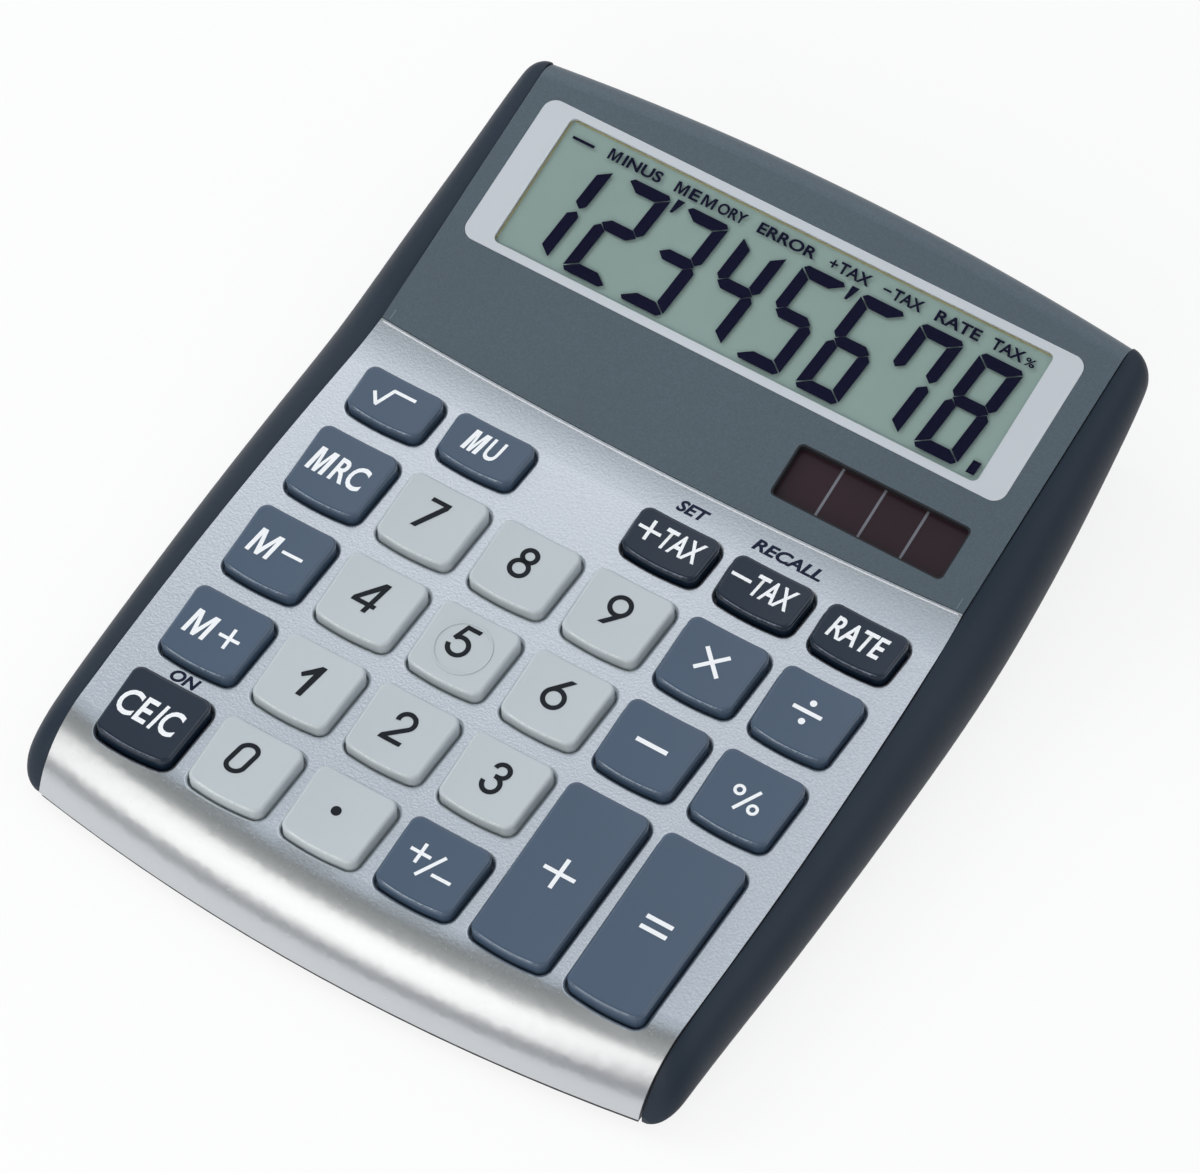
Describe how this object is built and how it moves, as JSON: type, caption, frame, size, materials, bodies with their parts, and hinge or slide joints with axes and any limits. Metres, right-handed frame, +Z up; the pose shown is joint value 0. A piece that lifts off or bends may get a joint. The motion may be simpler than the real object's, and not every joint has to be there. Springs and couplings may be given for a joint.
{
  "type": "desk calculator",
  "caption": "Wedge-shaped desk calculator with a silver keypad plate, tilted display panel with solar cell, dark side rails and sprung keys.",
  "frame": {"origin": "on the table plane, under the middle of the calculator's outline", "axes": "+X to the user's right, +Y away from the user towards the display, +Z up"},
  "size_m": [0.109, 0.1372, 0.026],
  "materials": {
    "silver_skin": "metallic silver paint over a fine leathery grain, satin",
    "slate_skin": "metallic slate paint, satin",
    "rail_plastic": "dark navy, satin",
    "bezel_plastic": "pale grey, satin",
    "clear_window": "clear, polished",
    "lcd_glass": "grey-green liquid crystal glass",
    "reflector_film": "matt reflecting film",
    "dark_rubber": "matt",
    "dark_plastic": "fine matt grain",
    "board": "green circuit board with solder mask",
    "solar_glass": "dark brown cell strips behind clear resin",
    "plated_metal": "bright nickel plating",
    "mat_rubber": "pale silicone, matt",
    "ribbon": "flat film cable",
    "light_key": "pale grey, satin",
    "slate_key": "slate, satin",
    "navy_key": "dark navy, satin"
  },
  "bodies": {
    "case": {"board_screws": "plated_metal", "bottom_cover": "dark_plastic", "button_cell": "plated_metal", "case_screws": "plated_metal", "cell_contact_negative": "plated_metal", "cell_contact_positive": "plated_metal", "circuit_board": "board", "controller_chip": "dark_plastic", "display_bezel": "bezel_plastic", "display_board": "board", "display_holder": "dark_plastic", "display_panel": "slate_skin", "display_window": "clear_window", "elastomer_strip": "dark_rubber", "key_mat": "mat_rubber", "keypad_plate": "silver_skin", "lcd_cell": "lcd_glass", "lcd_reflector": "reflector_film", "left_side_rail": "rail_plastic", "ribbon_cable": "ribbon", "right_side_rail": "rail_plastic", "rubber_feet": "dark_rubber", "solar_cell": "solar_glass", "solar_leads": "plated_metal", "solar_liner": "dark_plastic", "upper_frame": "dark_plastic"},
    "key_clear_cap": {"key_clear": "navy_key"},
    "key_decimal_point_cap": {"key_decimal_point": "light_key"},
    "key_digit_0_cap": {"key_digit_0": "light_key"},
    "key_digit_1_cap": {"key_digit_1": "light_key"},
    "key_digit_2_cap": {"key_digit_2": "light_key"},
    "key_digit_3_cap": {"key_digit_3": "light_key"},
    "key_digit_4_cap": {"key_digit_4": "light_key"},
    "key_digit_5_cap": {"key_digit_5": "light_key"},
    "key_digit_6_cap": {"key_digit_6": "light_key"},
    "key_digit_7_cap": {"key_digit_7": "light_key"},
    "key_digit_8_cap": {"key_digit_8": "light_key"},
    "key_digit_9_cap": {"key_digit_9": "light_key"},
    "key_divide_cap": {"key_divide": "slate_key"},
    "key_equals_cap": {"key_equals": "slate_key"},
    "key_mark_up_cap": {"key_mark_up": "slate_key"},
    "key_memory_minus_cap": {"key_memory_minus": "slate_key"},
    "key_memory_plus_cap": {"key_memory_plus": "slate_key"},
    "key_memory_recall_cap": {"key_memory_recall": "slate_key"},
    "key_minus_cap": {"key_minus": "slate_key"},
    "key_percent_cap": {"key_percent": "slate_key"},
    "key_plus_cap": {"key_plus": "slate_key"},
    "key_sign_change_cap": {"key_sign_change": "slate_key"},
    "key_square_root_cap": {"key_square_root": "slate_key"},
    "key_tax_minus_cap": {"key_tax_minus": "navy_key"},
    "key_tax_plus_cap": {"key_tax_plus": "navy_key"},
    "key_tax_rate_cap": {"key_tax_rate": "navy_key"},
    "key_times_cap": {"key_times": "slate_key"}
  },
  "joints": [
    {"name": "key_clear_press", "type": "slide", "parent": "case", "child": "key_clear_cap", "axis": [0, 0.0436, -0.999], "range_m": [0, 0.0012], "stiffness_N_per_m": 500, "deforming": ["key_mat"]},
    {"name": "key_decimal_point_press", "type": "slide", "parent": "case", "child": "key_decimal_point_cap", "axis": [0, 0.0436, -0.999], "range_m": [0, 0.0012], "stiffness_N_per_m": 500, "deforming": ["key_mat"]},
    {"name": "key_digit_0_press", "type": "slide", "parent": "case", "child": "key_digit_0_cap", "axis": [0, 0.0436, -0.999], "range_m": [0, 0.0012], "stiffness_N_per_m": 500, "deforming": ["key_mat"]},
    {"name": "key_digit_1_press", "type": "slide", "parent": "case", "child": "key_digit_1_cap", "axis": [0, 0.0436, -0.999], "range_m": [0, 0.0012], "stiffness_N_per_m": 500, "deforming": ["key_mat"]},
    {"name": "key_digit_2_press", "type": "slide", "parent": "case", "child": "key_digit_2_cap", "axis": [0, 0.0436, -0.999], "range_m": [0, 0.0012], "stiffness_N_per_m": 500, "deforming": ["key_mat"]},
    {"name": "key_digit_3_press", "type": "slide", "parent": "case", "child": "key_digit_3_cap", "axis": [0, 0.0436, -0.999], "range_m": [0, 0.0012], "stiffness_N_per_m": 500, "deforming": ["key_mat"]},
    {"name": "key_digit_4_press", "type": "slide", "parent": "case", "child": "key_digit_4_cap", "axis": [0, 0.0436, -0.999], "range_m": [0, 0.0012], "stiffness_N_per_m": 500, "deforming": ["key_mat"]},
    {"name": "key_digit_5_press", "type": "slide", "parent": "case", "child": "key_digit_5_cap", "axis": [0, 0.0436, -0.999], "range_m": [0, 0.0012], "stiffness_N_per_m": 500, "deforming": ["key_mat"]},
    {"name": "key_digit_6_press", "type": "slide", "parent": "case", "child": "key_digit_6_cap", "axis": [0, 0.0436, -0.999], "range_m": [0, 0.0012], "stiffness_N_per_m": 500, "deforming": ["key_mat"]},
    {"name": "key_digit_7_press", "type": "slide", "parent": "case", "child": "key_digit_7_cap", "axis": [0, 0.0436, -0.999], "range_m": [0, 0.0012], "stiffness_N_per_m": 500, "deforming": ["key_mat"]},
    {"name": "key_digit_8_press", "type": "slide", "parent": "case", "child": "key_digit_8_cap", "axis": [0, 0.0436, -0.999], "range_m": [0, 0.0012], "stiffness_N_per_m": 500, "deforming": ["key_mat"]},
    {"name": "key_digit_9_press", "type": "slide", "parent": "case", "child": "key_digit_9_cap", "axis": [0, 0.0436, -0.999], "range_m": [0, 0.0012], "stiffness_N_per_m": 500, "deforming": ["key_mat"]},
    {"name": "key_divide_press", "type": "slide", "parent": "case", "child": "key_divide_cap", "axis": [0, 0.0436, -0.999], "range_m": [0, 0.0012], "stiffness_N_per_m": 500, "deforming": ["key_mat"]},
    {"name": "key_equals_press", "type": "slide", "parent": "case", "child": "key_equals_cap", "axis": [0, 0.0436, -0.999], "range_m": [0, 0.0012], "stiffness_N_per_m": 500, "deforming": ["key_mat"]},
    {"name": "key_mark_up_press", "type": "slide", "parent": "case", "child": "key_mark_up_cap", "axis": [0, 0.0436, -0.999], "range_m": [0, 0.0012], "stiffness_N_per_m": 500, "deforming": ["key_mat"]},
    {"name": "key_memory_minus_press", "type": "slide", "parent": "case", "child": "key_memory_minus_cap", "axis": [0, 0.0436, -0.999], "range_m": [0, 0.0012], "stiffness_N_per_m": 500, "deforming": ["key_mat"]},
    {"name": "key_memory_plus_press", "type": "slide", "parent": "case", "child": "key_memory_plus_cap", "axis": [0, 0.0436, -0.999], "range_m": [0, 0.0012], "stiffness_N_per_m": 500, "deforming": ["key_mat"]},
    {"name": "key_memory_recall_press", "type": "slide", "parent": "case", "child": "key_memory_recall_cap", "axis": [0, 0.0436, -0.999], "range_m": [0, 0.0012], "stiffness_N_per_m": 500, "deforming": ["key_mat"]},
    {"name": "key_minus_press", "type": "slide", "parent": "case", "child": "key_minus_cap", "axis": [0, 0.0436, -0.999], "range_m": [0, 0.0012], "stiffness_N_per_m": 500, "deforming": ["key_mat"]},
    {"name": "key_percent_press", "type": "slide", "parent": "case", "child": "key_percent_cap", "axis": [0, 0.0436, -0.999], "range_m": [0, 0.0012], "stiffness_N_per_m": 500, "deforming": ["key_mat"]},
    {"name": "key_plus_press", "type": "slide", "parent": "case", "child": "key_plus_cap", "axis": [0, 0.0436, -0.999], "range_m": [0, 0.0012], "stiffness_N_per_m": 500, "deforming": ["key_mat"]},
    {"name": "key_sign_change_press", "type": "slide", "parent": "case", "child": "key_sign_change_cap", "axis": [0, 0.0436, -0.999], "range_m": [0, 0.0012], "stiffness_N_per_m": 500, "deforming": ["key_mat"]},
    {"name": "key_square_root_press", "type": "slide", "parent": "case", "child": "key_square_root_cap", "axis": [0, 0.0436, -0.999], "range_m": [0, 0.0012], "stiffness_N_per_m": 500, "deforming": ["key_mat"]},
    {"name": "key_tax_minus_press", "type": "slide", "parent": "case", "child": "key_tax_minus_cap", "axis": [0, 0.0436, -0.999], "range_m": [0, 0.0012], "stiffness_N_per_m": 500, "deforming": ["key_mat"]},
    {"name": "key_tax_plus_press", "type": "slide", "parent": "case", "child": "key_tax_plus_cap", "axis": [0, 0.0436, -0.999], "range_m": [0, 0.0012], "stiffness_N_per_m": 500, "deforming": ["key_mat"]},
    {"name": "key_tax_rate_press", "type": "slide", "parent": "case", "child": "key_tax_rate_cap", "axis": [0, 0.0436, -0.999], "range_m": [0, 0.0012], "stiffness_N_per_m": 500, "deforming": ["key_mat"]},
    {"name": "key_times_press", "type": "slide", "parent": "case", "child": "key_times_cap", "axis": [0, 0.0436, -0.999], "range_m": [0, 0.0012], "stiffness_N_per_m": 500, "deforming": ["key_mat"]}
  ]
}
